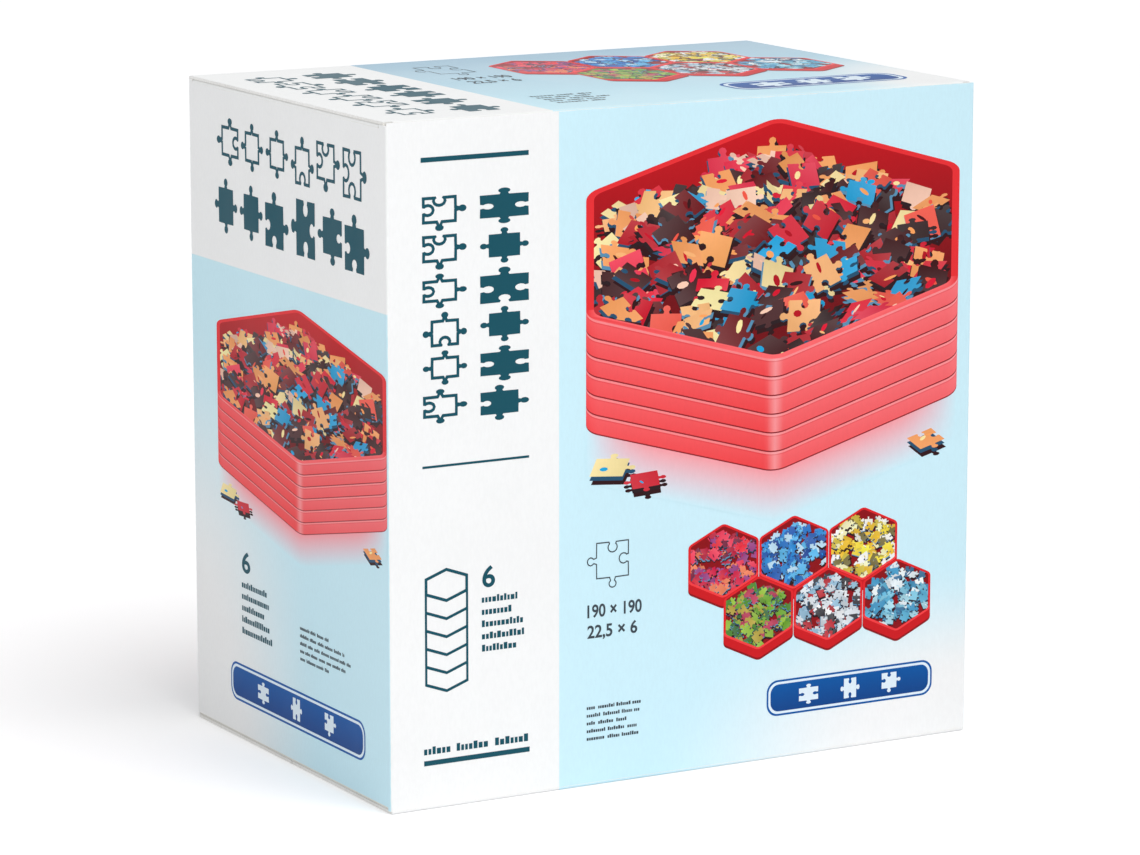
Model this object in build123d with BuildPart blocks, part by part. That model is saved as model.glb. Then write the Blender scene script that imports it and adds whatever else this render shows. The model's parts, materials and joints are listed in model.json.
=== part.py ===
from build123d import *
import os
from math import cos, radians, sin, tan

os.makedirs("parts", exist_ok=True)

# Puzzle sorter: six stackable trays shaped like jigsaw pieces, packed on edge in a
# folding carton that opens at the top. Millimetres. The origin is under the middle
# of the carton, +X runs to the right along its front and +Z is up.

# Trays
tray_count = 6
tray_overall = 190.0  # across the body and one knob
knob_reach = 22.0  # how far a knob stands out of its side
knob_radius = 21.0
socket_play = 0.8  # how much wider a socket is than the knob that goes in
neck_radius = 4.0  # where a knob or a socket leaves the straight side
corner_radius = 8.0
tray_height = 22.5
tray_wall = 1.4
tray_floor = 1.4
foot_length = 14.0  # of the four feet, along each side of a corner
nest_depth = 2.0  # how far a tray's feet drop into the tray under it
nest_play = 0.3  # from the feet to the wall round them

# Carton
board = 1.0  # thickness of the cardboard
side_room = 4.0  # between the trays and each side wall
head_room = 8.0  # over the trays
front_room = 3.7  # in front of the trays, where the tuck flap hangs
rear_room = 0.3  # behind the trays, up to the glue flap
fold_gap = 0.3  # between the front wall and the fold of the tuck flap
front_edge_drop = 0.2  # from the top of the lid to the bare edge of the front wall
lid_side_gap = 0.3

# Flaps
tuck_depth = 16.0
tuck_lean = 6.0  # degrees, inward from upright
tuck_side_gap = 3.0
tuck_corner = 12.0
dust_flap_length = 62.0
dust_front_gap = 2.5  # behind the tuck flap
root_gap = 0.3  # from the root of a side wall's flap to the shoulders beside it
dust_rear_gap = 2.0  # in front of the back wall
dust_front_taper = 8.0  # degrees
dust_rear_taper = 30.0  # degrees, so that lid and dust flaps open past each other
bottom_flap_length = 60.0  # of the two inner bottom flaps
bottom_flap_taper = 12.0  # degrees
bottom_flap_gap = 1.0  # from the inner bottom flaps to the front and back walls
bottom_seam = 0.6  # between the two outer bottom flaps
bottom_side_gap = 0.5
flap_corner = 6.0
glue_flap_width = 15.0
glue_flap_taper = 20.0  # degrees
glue_flap_gap = 1.0  # from its ends to the flaps above and below it

# Worked out from the sizes above
tray_body = tray_overall - knob_reach
wall_height = tray_height - nest_depth
stack_depth = tray_count * wall_height + nest_depth
case_width = tray_overall + 2 * side_room + 2 * board
case_depth = stack_depth + front_room + rear_room + 3 * board
case_height = tray_overall + head_room + 4 * board
fold_radius = 0.9 * board
side = case_width / 2
front = -case_depth / 2
back = case_depth / 2
case_floor = 2 * board
flap_level = case_height - 2 * board
lid_level = case_height - board


def save(part, name):
    part.label = name
    export_step(part, f"parts/{name}.step")


# The sleeve of the carton, seen from above, with a rounded fold at each corner.
with BuildSketch() as sleeve:
    RectangleRounded(case_width, case_depth, fold_radius)
    Rectangle(case_width - 2 * board, case_depth - 2 * board, mode=Mode.SUBTRACT)


def make_wall(start, end, bottom, top):
    # One wall of the sleeve, parted from its neighbours on the slant through each fold.
    along = (Vector(*end) - Vector(*start)).normalized()
    inward = along.rotate(Axis.Z, 90)
    slant = 2 * board
    with BuildPart() as wall:
        with BuildSketch(Plane.XY.offset(bottom)):
            add(sleeve.sketch)
            Polygon(
                start,
                end,
                Vector(*end) + (inward - along) * slant,
                Vector(*start) + (inward + along) * slant,
                mode=Mode.INTERSECT,
            )
        extrude(amount=top - bottom)
    return wall.part


def make_flap(hinge, reach, outward, outline, corner=0.0):
    # A flap in its closed place. The hinge is a point on the fold, reach points along
    # the flap and outward out of the carton. The outline has its first coordinate along
    # reach and its second along the fold, and starts with its two points on the fold.
    reach_vector = Vector(*reach)
    length = max(u for u, v in outline)
    width = max(abs(v) for u, v in outline)
    with BuildPart() as flap:
        with BuildSketch(Plane(hinge, x_dir=reach, z_dir=reach_vector.cross(Vector(*outward)))) as profile:
            Rectangle(length, board, align=(Align.MIN, Align.MIN))
            fillet(profile.vertices().group_by(Axis.Y)[-1].sort_by(Axis.X)[0], fold_radius)
        extrude(amount=width, both=True)
        with BuildSketch(Plane(hinge, x_dir=reach, z_dir=outward)) as plan:
            Polygon(*outline)
            if corner:
                fillet(plan.vertices().group_by(Axis.X)[-1], corner)
        extrude(amount=board, mode=Mode.INTERSECT)
    return flap.part


def mirrored(part, about):
    with BuildPart() as twin:
        mirror(part, about=about)
    return twin.part


# Front and back walls
save(make_wall((-side, front), (side, front), board, case_height - front_edge_drop), "front_panel")
save(make_wall((side, back), (-side, back), board, lid_level), "back_panel")

# Side walls: a flap folds in from the top and another from the bottom, and beside
# their roots the wall goes on as shoulders to the lid and to the outer bottom flaps
tuck_front = front + board + fold_gap
tuck_fold = tuck_front + board
dust_front = tuck_fold + dust_front_gap
dust_back = back - board - dust_rear_gap
inner_half = back - board - bottom_flap_gap
with BuildPart() as left_panel:
    add(make_wall((-side, back), (-side, front), board, lid_level))
    with BuildSketch(Plane.YZ.offset(-side)):
        with Locations((dust_front - root_gap, flap_level)):
            Rectangle(dust_back - dust_front + 2 * root_gap, board, align=(Align.MIN, Align.MIN))
        with Locations((-inner_half - root_gap, board)):
            Rectangle(2 * (inner_half + root_gap), board, align=(Align.MIN, Align.MIN))
    extrude(amount=board, mode=Mode.SUBTRACT)
save(left_panel.part, "left_panel")
save(mirrored(left_panel.part, Plane.YZ), "right_panel")

# The strip that closes the sleeve, glued inside the back wall
glue_edge = side - board
glue_slope = glue_flap_width * tan(radians(glue_flap_taper))
glue_bottom = case_floor + glue_flap_gap
glue_top = flap_level - glue_flap_gap
with BuildPart() as glue_flap:
    with BuildSketch(Plane.XZ.offset(board - back)):
        Polygon(
            (glue_edge, glue_bottom),
            (glue_edge, glue_top),
            (glue_edge - glue_flap_width, glue_top - glue_slope),
            (glue_edge - glue_flap_width, glue_bottom + glue_slope),
        )
    extrude(amount=board)
save(glue_flap.part, "glue_flap")

# Bottom: two inner flaps from the side walls, under them two outer flaps that meet
# in the middle and are glued on
inner_tip = inner_half - bottom_flap_length * tan(radians(bottom_flap_taper))
bottom_left_flap = make_flap(
    (-side, 0, case_floor),
    (1, 0, 0),
    (0, 0, -1),
    [(0, -inner_half), (0, inner_half), (bottom_flap_length, inner_tip), (bottom_flap_length, -inner_tip)],
    flap_corner,
)
save(bottom_left_flap, "bottom_left_flap")
save(mirrored(bottom_left_flap, Plane.YZ), "bottom_right_flap")

outer_half = side - bottom_side_gap
outer_reach = back - bottom_seam / 2
bottom_front_flap = make_flap(
    (0, front, board),
    (0, 1, 0),
    (0, 0, -1),
    [(0, -outer_half), (0, outer_half), (outer_reach, outer_half), (outer_reach, -outer_half)],
)
save(bottom_front_flap, "bottom_front_flap")
save(mirrored(bottom_front_flap, Plane.XZ), "bottom_back_flap")

# Tuck flap: it hangs from the front of the lid and leans in, so that it swings out
# past the front wall
tuck_half = side - tuck_side_gap
lean = radians(tuck_lean)
tuck_flap = make_flap(
    (0, tuck_fold, case_height),
    (0, sin(lean), -cos(lean)),
    (0, -cos(lean), -sin(lean)),
    [(0, -tuck_half), (0, tuck_half), (tuck_depth, tuck_half), (tuck_depth, -tuck_half)],
    tuck_corner,
)
save(tuck_flap, "tuck_flap")

# Lid: it hinges on the back wall
lid_half = side - lid_side_gap
lid_reach = back - tuck_fold - board * tan(lean)
lid_panel = make_flap(
    (0, back, lid_level),
    (0, -1, 0),
    (0, 0, 1),
    [(0, -lid_half), (0, lid_half), (lid_reach, lid_half), (lid_reach, -lid_half)],
)
save(lid_panel, "lid_panel")

# Dust flaps: they fold in from the side walls under the lid
dust_tip_front = dust_front + dust_flap_length * tan(radians(dust_front_taper))
dust_tip_back = dust_back - dust_flap_length * tan(radians(dust_rear_taper))
left_dust_flap = make_flap(
    (-side, 0, flap_level),
    (1, 0, 0),
    (0, 0, 1),
    [(0, dust_front), (0, dust_back), (dust_flap_length, dust_tip_back), (dust_flap_length, dust_tip_front)],
    flap_corner,
)
save(left_dust_flap, "left_dust_flap")
save(mirrored(left_dust_flap, Plane.YZ), "right_dust_flap")

# The jigsaw outline of a tray's rim: two knobs and two sockets, each pair on
# neighbouring sides, so that trays laid side by side lock into one another.
knob_centre = tray_body / 2 + knob_reach - knob_radius
with BuildSketch() as rim_outline:
    Rectangle(tray_body, tray_body)
    fillet(rim_outline.vertices(), corner_radius)
    with Locations((knob_centre, 0), (0, knob_centre)):
        Circle(knob_radius)
    with Locations((knob_centre - tray_body, 0), (0, knob_centre - tray_body)):
        Circle(knob_radius + socket_play, mode=Mode.SUBTRACT)
    necks = rim_outline.vertices().filter_by(lambda v: min(abs(v.X), abs(v.Y)) < knob_radius + 2 * socket_play)
    fillet(necks, neck_radius)

with BuildSketch() as rim_mouth:
    add(rim_outline.sketch)
    offset(amount=-tray_wall)

# Four feet, one in each corner, that fit inside the wall of the next tray
foot_inset = tray_wall + nest_play
foot_span = tray_body - 2 * foot_inset
with BuildSketch() as feet:
    with GridLocations(foot_span - foot_length, foot_span - foot_length, 2, 2):
        Rectangle(foot_length, foot_length)
    RectangleRounded(foot_span, foot_span, corner_radius - foot_inset, mode=Mode.INTERSECT)

# One tray, upside down: its rim lies on the XY plane and its feet point up.
with BuildPart() as tray_form:
    with BuildSketch():
        add(rim_outline.sketch)
    extrude(amount=wall_height)
    with BuildSketch():
        add(rim_mouth.sketch)
    extrude(amount=wall_height - tray_floor, mode=Mode.SUBTRACT)
    with BuildSketch(Plane.XY.offset(wall_height)):
        add(feet.sketch)
    extrude(amount=nest_depth)

# The stack stands on edge on the floor of the carton, each tray open to the front
# and its knobs to the left and to the top. Tray 1 is at the back.
rear_foot = back - 2 * board - rear_room
for number in range(tray_count):
    rim = rear_foot - nest_depth - (number + 1) * wall_height
    place = Plane((knob_reach / 2, rim, case_floor + tray_body / 2), x_dir=(-1, 0, 0), z_dir=(0, 1, 0))
    with BuildPart(place) as tray:
        add(tray_form.part)
    save(tray.part, f"tray_{number + 1}")
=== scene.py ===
# Puzzle sorter: a printed folding carton with six jigsaw-shaped trays packed inside,
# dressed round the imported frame. Metres in the scene, millimetres in the settings.
import json
import math
import random

import bmesh
import bpy
from mathutils import Matrix, Vector, geometry

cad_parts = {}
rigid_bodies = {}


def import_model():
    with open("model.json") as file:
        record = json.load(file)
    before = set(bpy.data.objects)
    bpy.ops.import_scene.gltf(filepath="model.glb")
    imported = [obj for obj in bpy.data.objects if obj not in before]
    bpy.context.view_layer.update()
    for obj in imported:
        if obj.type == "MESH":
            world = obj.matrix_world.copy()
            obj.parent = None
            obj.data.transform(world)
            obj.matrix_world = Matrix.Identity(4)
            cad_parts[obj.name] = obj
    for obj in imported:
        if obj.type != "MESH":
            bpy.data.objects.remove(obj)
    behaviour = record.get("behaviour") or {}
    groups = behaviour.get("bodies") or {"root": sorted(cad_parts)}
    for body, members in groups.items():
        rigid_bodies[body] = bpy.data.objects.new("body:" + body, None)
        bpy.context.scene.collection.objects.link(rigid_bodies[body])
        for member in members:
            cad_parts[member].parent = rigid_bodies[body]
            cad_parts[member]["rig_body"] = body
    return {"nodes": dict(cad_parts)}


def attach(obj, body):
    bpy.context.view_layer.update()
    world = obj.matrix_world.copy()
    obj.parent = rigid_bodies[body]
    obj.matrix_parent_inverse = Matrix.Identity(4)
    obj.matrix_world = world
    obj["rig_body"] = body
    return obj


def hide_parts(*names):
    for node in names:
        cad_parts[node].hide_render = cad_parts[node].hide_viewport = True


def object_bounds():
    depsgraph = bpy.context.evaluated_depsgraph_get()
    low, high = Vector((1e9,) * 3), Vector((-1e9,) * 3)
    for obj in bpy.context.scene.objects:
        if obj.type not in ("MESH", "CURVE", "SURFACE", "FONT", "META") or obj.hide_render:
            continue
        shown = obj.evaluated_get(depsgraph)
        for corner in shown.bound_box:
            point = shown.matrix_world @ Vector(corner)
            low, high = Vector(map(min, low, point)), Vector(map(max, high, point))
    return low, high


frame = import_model()
frameLow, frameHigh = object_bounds()
print("frame loaded with", len(frame["nodes"]), "nodes")

mm = 0.001
carton = {
    "width": round((frameHigh[0] - frameLow[0]) / mm, 3),
    "depth": round((frameHigh[1] - frameLow[1]) / mm, 3),
    "height": round(frameHigh[2] / mm, 3),
    "inkRoom": 0.05,      # the printed skin is drawn in this far, and the ink lies on top
    "foldBow": 0.264,     # depth of the outer face at the middle of a fold
    "cutBevel": 0.10,     # softened edge where the board is cut
    "cutSegments": 2,
    "cutProfile": 0.6,
    "tuckLean": 6.0,      # degrees
}
halfWidth, halfDepth, cartonTop = carton["width"] / 2, carton["depth"] / 2, carton["height"]
scene = bpy.context.scene
collection = scene.collection


def addObject(name, data):
    thing = bpy.data.objects.new(name, data)
    collection.objects.link(thing)
    return thing


# Colours are written as on a screen, 0 to 255, and used as linear light
def ink(r, g, b):
    def linear(c):
        c /= 255
        return c / 12.92 if c <= 0.04045 else ((c + 0.055) / 1.055) ** 2.4
    return (linear(r), linear(g), linear(b), 1.0)


inks = {
    "paper": ink(247, 248, 248),
    "paleBlue": ink(207, 241, 252),
    # the top's blue, darkened towards the back as painted shade
    "shadedBlue": ink(172, 201, 219),
    "teal": ink(19, 80, 95),
    "slate": ink(62, 72, 80),
    "labelBlue": ink(0, 88, 165),
    "labelDeep": ink(8, 62, 130),
    "labelRing": ink(226, 240, 250),
}


# Small helpers for building node trees. New nodes line up in rows, as they are made.
nodeGrid = {"columns": 8, "wide": 220, "high": 320}


def addNode(tree, kind, **settings):
    row, column = divmod(len(tree.nodes), nodeGrid["columns"])
    node = tree.nodes.new(kind)
    node.location = (column * nodeGrid["wide"], -row * nodeGrid["high"])
    for name, value in settings.items():
        setattr(node, name, value)
    return node


def join(tree, source, target):
    tree.links.new(source, target)


def feed(tree, value, socket):
    # A number or a colour is set on the socket, anything else is linked to it
    if isinstance(value, (int, float, tuple)):
        socket.default_value = value
    else:
        join(tree, value, socket)


def mathNode(tree, operation, *values):
    node = addNode(tree, "ShaderNodeMath", operation=operation)
    for socket, value in zip(node.inputs, values):
        feed(tree, value, socket)
    return node.outputs[0]


def rangeNode(tree, value, fromLow, fromHigh, toLow=0.0, toHigh=1.0, smooth=True):
    node = addNode(tree, "ShaderNodeMapRange")
    node.interpolation_type = "SMOOTHSTEP" if smooth else "LINEAR"
    names = ("Value", "From Min", "From Max", "To Min", "To Max")
    for name, number in zip(names, (value, fromLow, fromHigh, toLow, toHigh)):
        feed(tree, number, node.inputs[name])
    return node.outputs["Result"]


def blendNode(tree, factor, first, second, mode="MIX"):
    node = addNode(tree, "ShaderNodeMix", data_type="RGBA", blend_type=mode)
    for name, value in (("Factor", factor), ("A", first), ("B", second)):
        feed(tree, value, next(s for s in node.inputs if s.name == name and s.enabled))
    return next(s for s in node.outputs if s.enabled)


def noiseNode(tree, coords, scale, **settings):
    node = addNode(tree, "ShaderNodeTexNoise")
    join(tree, coords, node.inputs["Vector"])
    feed(tree, scale, node.inputs["Scale"])
    for name, value in settings.items():
        node.inputs[name].default_value = value
    return node.outputs["Fac"]


def objectCoords(tree):
    return addNode(tree, "ShaderNodeTexCoord").outputs["Object"]


def splitCoords(tree, coords):
    split = addNode(tree, "ShaderNodeSeparateXYZ")
    join(tree, coords, split.inputs[0])
    return split.outputs


def startGroup(name, inputs, outputs):
    group = bpy.data.node_groups.new(name, "ShaderNodeTree")
    for label, value in inputs.items():
        socket = group.interface.new_socket(label, in_out="INPUT", socket_type="NodeSocketFloat")
        socket.default_value = value
    for label in outputs:
        group.interface.new_socket(label, in_out="OUTPUT", socket_type="NodeSocketFloat")
    entry = addNode(group, "NodeGroupInput")
    leave = addNode(group, "NodeGroupOutput")
    return group, entry.outputs, leave.inputs


def useGroup(tree, group, **values):
    node = addNode(tree, "ShaderNodeGroup", node_tree=group)
    for label, value in values.items():
        node.inputs[label].default_value = value
    return node.outputs


noiseSpan = (0.3, 0.7)    # where most values of a noise lie

# Fibres of the board: a fine mottle with a slight run along the grain, over soft clouds
fibre = {"detail": 5.0, "roughness": 0.62, "cloudScale": 34.0, "cloudDetail": 3.0, "cloudShare": 0.35}
paperFibre, given, made = startGroup("paper fibre", {"Scale": 900.0, "Run": 3.0}, ["Mottle", "Height"])
coords = objectCoords(paperFibre)
parts = splitCoords(paperFibre, coords)
pressed = addNode(paperFibre, "ShaderNodeCombineXYZ")
join(paperFibre, parts["X"], pressed.inputs[0])
join(paperFibre, parts["Y"], pressed.inputs[1])
join(paperFibre, mathNode(paperFibre, "DIVIDE", parts["Z"], given["Run"]), pressed.inputs[2])
threads = noiseNode(paperFibre, pressed.outputs[0], given["Scale"],
                    Detail=fibre["detail"], Roughness=fibre["roughness"])
clouds = noiseNode(paperFibre, coords, fibre["cloudScale"], Detail=fibre["cloudDetail"])
both = mathNode(paperFibre, "MULTIPLY", clouds, fibre["cloudShare"])
both = mathNode(paperFibre, "MULTIPLY_ADD", threads, 1 - fibre["cloudShare"], both)
join(paperFibre, rangeNode(paperFibre, both, *noiseSpan), made["Mottle"])
join(paperFibre, threads, made["Height"])

# Wear along the folds: the distance to the nearest edge of the closed carton is the
# middle one of the three distances to its faces
rubbing = {"scale": 420.0, "detail": 4.0, "span": (0.35, 0.65)}
foldWear, given, made = startGroup("fold wear", {"Width": 0.0005, "Ragged": 0.6}, ["Wear"])
coords = objectCoords(foldWear)
parts = splitCoords(foldWear, coords)
fromSide = mathNode(foldWear, "SUBTRACT", halfWidth * mm, mathNode(foldWear, "ABSOLUTE", parts["X"]))
fromFront = mathNode(foldWear, "SUBTRACT", halfDepth * mm, mathNode(foldWear, "ABSOLUTE", parts["Y"]))
fromTop = mathNode(foldWear, "SUBTRACT", cartonTop * mm, parts["Z"])
fromEnds = mathNode(foldWear, "MINIMUM", fromTop, parts["Z"])
nearer = mathNode(foldWear, "MINIMUM", fromSide, fromFront)
farther = mathNode(foldWear, "MAXIMUM", fromSide, fromFront)
middle = mathNode(foldWear, "MAXIMUM", nearer, mathNode(foldWear, "MINIMUM", farther, fromEnds))
scratches = noiseNode(foldWear, coords, rubbing["scale"], Detail=rubbing["detail"])
ragged = mathNode(foldWear, "MULTIPLY", rangeNode(foldWear, scratches, *rubbing["span"]), given["Ragged"])
reach = mathNode(foldWear, "MULTIPLY", given["Width"], mathNode(foldWear, "SUBTRACT", 1.0, ragged))
join(foldWear, rangeNode(foldWear, middle, reach, 0.0), made["Wear"])

# Faint marks of handling, for sheen that isn't the same all over
smudge = {"detail": 4.0, "distortion": 0.6}
handling, given, made = startGroup("handling marks", {"Scale": 24.0, "Low": 0.3, "High": 0.42},
                                   ["Roughness"])
smudges = noiseNode(handling, objectCoords(handling), given["Scale"],
                    Detail=smudge["detail"], Distortion=smudge["distortion"])
marked = rangeNode(handling, smudges, *noiseSpan, given["Low"], given["High"])
join(handling, marked, made["Roughness"])
print("node groups built")


def startTree(owner, ending):
    # Empties the node tree of a material or a world, and adds how it ends
    owner.use_nodes = True
    tree = owner.node_tree
    tree.nodes.clear()
    return tree, addNode(tree, ending)


def startMaterial(name):
    material = bpy.data.materials.new(name)
    tree, out = startTree(material, "ShaderNodeOutputMaterial")
    body = addNode(tree, "ShaderNodeBsdfPrincipled")
    join(tree, body.outputs[0], out.inputs["Surface"])
    return material, tree, body.inputs


def addBump(tree, height, bump, surface):
    node = addNode(tree, "ShaderNodeBump")
    node.inputs["Strength"].default_value = bump["strength"]
    node.inputs["Distance"].default_value = bump["depth"] * mm
    join(tree, height, node.inputs["Height"])
    join(tree, node.outputs[0], surface["Normal"])


# Finishes of the board: how fine its fibres are, how much they darken it, and its sheen
coatedBoard = {"fibres": 1400.0, "grain": 0.03, "roughLow": 0.42, "roughHigh": 0.54, "shine": 0.14}
plainLining = {"fibres": 700.0, "grain": 0.08, "roughLow": 0.7, "roughHigh": 0.85, "shine": 0.25,
               "colour": ink(226, 224, 218)}
cutEdge = {"fibres": 2600.0, "grain": 0.10, "roughLow": 0.75, "roughHigh": 0.9, "shine": 0.2,
           "core": ink(245, 244, 240), "liner": ink(252, 252, 250), "plies": (0.2, 0.8)}
rubbedFold = {"width": 0.7, "ragged": 0.7, "strength": 0.55, "colour": ink(252, 252, 250)}
boardTooth = {"strength": 0.12, "depth": 0.03}


def finishBoard(tree, surface, colour, finish):
    # Mottle, sheen and tooth that every board surface shares
    fibres = useGroup(tree, paperFibre, Scale=finish["fibres"])
    tint = rangeNode(tree, fibres["Mottle"], 0.0, 1.0, 1.0 - finish["grain"], 1.0)
    shade = addNode(tree, "ShaderNodeCombineColor")
    for socket in shade.inputs:
        join(tree, tint, socket)
    mottled = blendNode(tree, 1.0, colour, shade.outputs[0], "MULTIPLY")
    join(tree, mottled, surface["Base Color"])
    sheen = useGroup(tree, handling, Low=finish["roughLow"], High=finish["roughHigh"])
    join(tree, sheen["Roughness"], surface["Roughness"])
    surface["Specular IOR Level"].default_value = finish["shine"]
    addBump(tree, fibres["Height"], boardTooth, surface)


# The ground colours of each face, in millimetres. "band" is where its white band starts:
# the axis, the way along it and the place. The blue thins out towards "corner": it is full
# beyond the distances of "spread". On the top, between the two places given along Y, the
# blue turns darker towards the back: this is painted shade.
sideGround = {"band": ("Z", 1, 147.0), "corner": (None, halfDepth, 0.0), "spread": (None, 90.0, 130.0)}
printedFaces = {
    "front": {"band": ("X", -1, -44.0), "corner": (halfWidth, None, 0.0), "spread": (115.0, None, 55.0)},
    "back": {"band": ("X", 1, 44.0), "corner": (-halfWidth, None, 0.0), "spread": (115.0, None, 55.0)},
    "left": sideGround,
    "right": sideGround,
    "top": {"band": ("X", -1, -45.0), "corner": (halfWidth, -halfDepth, None), "spread": (46.0, 86.0, None),
            "shadedBack": (-66.0, 62.0)},
}
groundFade = {"full": 1.0, "gone": 0.3, "bandEdge": 0.04}     # in spreads, and the band in mm


def faceColour(tree, face):
    # The ground colours of one printed face, from the place on it
    parts = splitCoords(tree, objectCoords(tree))
    axis, direction, limit = face["band"]
    past = mathNode(tree, "MULTIPLY_ADD", parts[axis], direction, -direction * limit * mm)
    edge = groundFade["bandEdge"] * mm
    white = rangeNode(tree, past, -edge, edge, smooth=False)
    total = None
    for index, name in enumerate("XYZ"):
        if face["corner"][index] is None:
            continue
        away = mathNode(tree, "SUBTRACT", parts[name], face["corner"][index] * mm)
        away = mathNode(tree, "DIVIDE", away, face["spread"][index] * mm)
        square = mathNode(tree, "MULTIPLY", away, away)
        total = square if total is None else mathNode(tree, "ADD", total, square)
    fade = rangeNode(tree, mathNode(tree, "SQRT", total), groundFade["full"], groundFade["gone"])
    ground = mathNode(tree, "MAXIMUM", white, fade)
    blue = inks["paleBlue"]
    # Painted shade: the top's blue turns darker towards the back
    if "shadedBack" in face:
        start, stop = face["shadedBack"]
        away = rangeNode(tree, parts["Y"], start * mm, stop * mm, smooth=False)
        blue = blendNode(tree, away, blue, inks["shadedBlue"])
    return blendNode(tree, ground, blue, inks["paper"])


materials = {}
for name, face in printedFaces.items():
    material, tree, surface = startMaterial("printed board " + name)
    wear = useGroup(tree, foldWear, Width=rubbedFold["width"] * mm, Ragged=rubbedFold["ragged"])
    rubbed = mathNode(tree, "MULTIPLY", wear["Wear"], rubbedFold["strength"])
    worn = blendNode(tree, rubbed, faceColour(tree, face), rubbedFold["colour"])
    finishBoard(tree, surface, worn, coatedBoard)
    materials[name] = material

    # Motifs take their ink from the mesh, let the ground show where it thins out, and
    # have the same sheen as the board
    material, tree, surface = startMaterial("printing ink " + name)
    laid = addNode(tree, "ShaderNodeAttribute", attribute_name="ink")
    inked = blendNode(tree, laid.outputs["Alpha"], faceColour(tree, face), laid.outputs["Color"])
    finishBoard(tree, surface, inked, coatedBoard)
    materials[name + " ink"] = material

material, tree, surface = startMaterial("board lining")
finishBoard(tree, surface, plainLining["colour"], plainLining)
materials["lining"] = material

# A cut edge mixes the tones of its core and its white liners, fibre by fibre
material, tree, surface = startMaterial("board cut edge")
fibres = useGroup(tree, paperFibre, Scale=cutEdge["fibres"], Run=1.0)
plies = rangeNode(tree, fibres["Mottle"], *cutEdge["plies"])
edgeColour = blendNode(tree, plies, cutEdge["core"], cutEdge["liner"])
finishBoard(tree, surface, edgeColour, cutEdge)
materials["cut"] = material

# Moulded red plastic: glossy, with a slight flow mottle and light scuffs
redPlastic = {
    "red": ink(203, 14, 20),
    "brighterRed": ink(222, 24, 28),
    "flow": {"Detail": 3.0, "Distortion": 1.2},
    "flowScale": 26.0,
    "scuffs": {"Scale": 60.0, "Low": 0.16, "High": 0.26},
    "skinScale": 1800.0,
    "skin": {"strength": 0.05, "depth": 0.02},
    "surface": {"Coat Weight": 0.25, "Coat Roughness": 0.08,
                "Subsurface Weight": 0.08, "Subsurface Radius": (0.004, 0.0008, 0.0006)},
}
material, tree, surface = startMaterial("red tray plastic")
coords = objectCoords(tree)
flow = noiseNode(tree, coords, redPlastic["flowScale"], **redPlastic["flow"])
flow = rangeNode(tree, flow, *noiseSpan)
mottledRed = blendNode(tree, flow, redPlastic["red"], redPlastic["brighterRed"])
join(tree, mottledRed, surface["Base Color"])
polish = useGroup(tree, handling, **redPlastic["scuffs"])
join(tree, polish["Roughness"], surface["Roughness"])
skin = noiseNode(tree, coords, redPlastic["skinScale"])
addBump(tree, skin, redPlastic["skin"], surface)
for name, value in redPlastic["surface"].items():
    surface[name].default_value = value
materials["plastic"] = material
print("materials made:", len(materials))


# Boards and trays are both cut again from their CAD outlines
making = {
    "weld": 0.002,        # corners nearer than this become one
    "flat": 0.4,          # degrees: facets that differ less are one face
    "corner": 50.0,       # edges that turn more are softened
    "boardCrisp": 35.0,   # and those that still turn more than this stay crisp in the light
    "trayCrisp": 40.0,
    "sideways": 0.05,     # faces turned this little out or in are cut faces
}


def takeShape(node):
    shape = bmesh.new()
    shape.from_mesh(frame["nodes"][node].data)
    bmesh.ops.remove_doubles(shape, verts=shape.verts, dist=making["weld"] * mm)
    bmesh.ops.dissolve_limit(shape, angle_limit=math.radians(making["flat"]),
                             verts=shape.verts, edges=shape.edges)
    return shape


def softenEdges(shape, width, segments, profile, chosen=None):
    cuts = [e for e in shape.edges
            if e.is_manifold and e.calc_face_angle(0) > math.radians(making["corner"])
            and (chosen is None or all(chosen(v.co / mm) for v in e.verts))]
    bmesh.ops.bevel(shape, geom=cuts, offset=width * mm, segments=segments, profile=profile,
                    affect="EDGES", clamp_overlap=True)


def makePiece(name, shape, crisp, skins):
    for part in shape.faces:
        part.smooth = True
    mesh = bpy.data.meshes.new(name)
    shape.to_mesh(mesh)
    shape.free()
    mesh.set_sharp_from_angle(angle=math.radians(crisp))
    for skinName in skins:
        mesh.materials.append(materials[skinName])
    piece = addObject(name, mesh)
    # Keeps the light on the wide faces flat right up to their softened edges
    even = piece.modifiers.new("even shading", "WEIGHTED_NORMAL")
    even.keep_sharp = True
    even.weight = 100
    return piece


# A board has its printed skin outside, its lining inside and cut faces between. The skin
# is drawn in along inkAxis, and the edges that freeEdge picks, in millimetres, are softened.
def cutBoard(node, outward, skinName, freeEdge=None, inkAxis=None):
    shape = takeShape(node)
    if inkAxis:
        inkAxis = Vector(inkAxis)
        plane = max(v.co.dot(inkAxis) for v in shape.verts)
        for vert in shape.verts:
            depth = (plane - vert.co.dot(inkAxis)) / mm
            share = max(0.0, 1 - depth / carton["foldBow"])
            vert.co -= inkAxis * carton["inkRoom"] * mm * share
    if freeEdge:
        softenEdges(shape, carton["cutBevel"], carton["cutSegments"], carton["cutProfile"], freeEdge)
    shape.normal_update()
    outward = Vector(outward).normalized()
    for part in shape.faces:
        facing = part.normal.dot(outward)
        part.material_index = 0 if facing > making["sideways"] else 1 if facing < -making["sideways"] else 2
    board = makePiece(node + "_board", shape, making["boardCrisp"], (skinName, "lining", "cut"))
    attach(board, frame["nodes"][node]["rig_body"])
    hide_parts(node)


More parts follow.
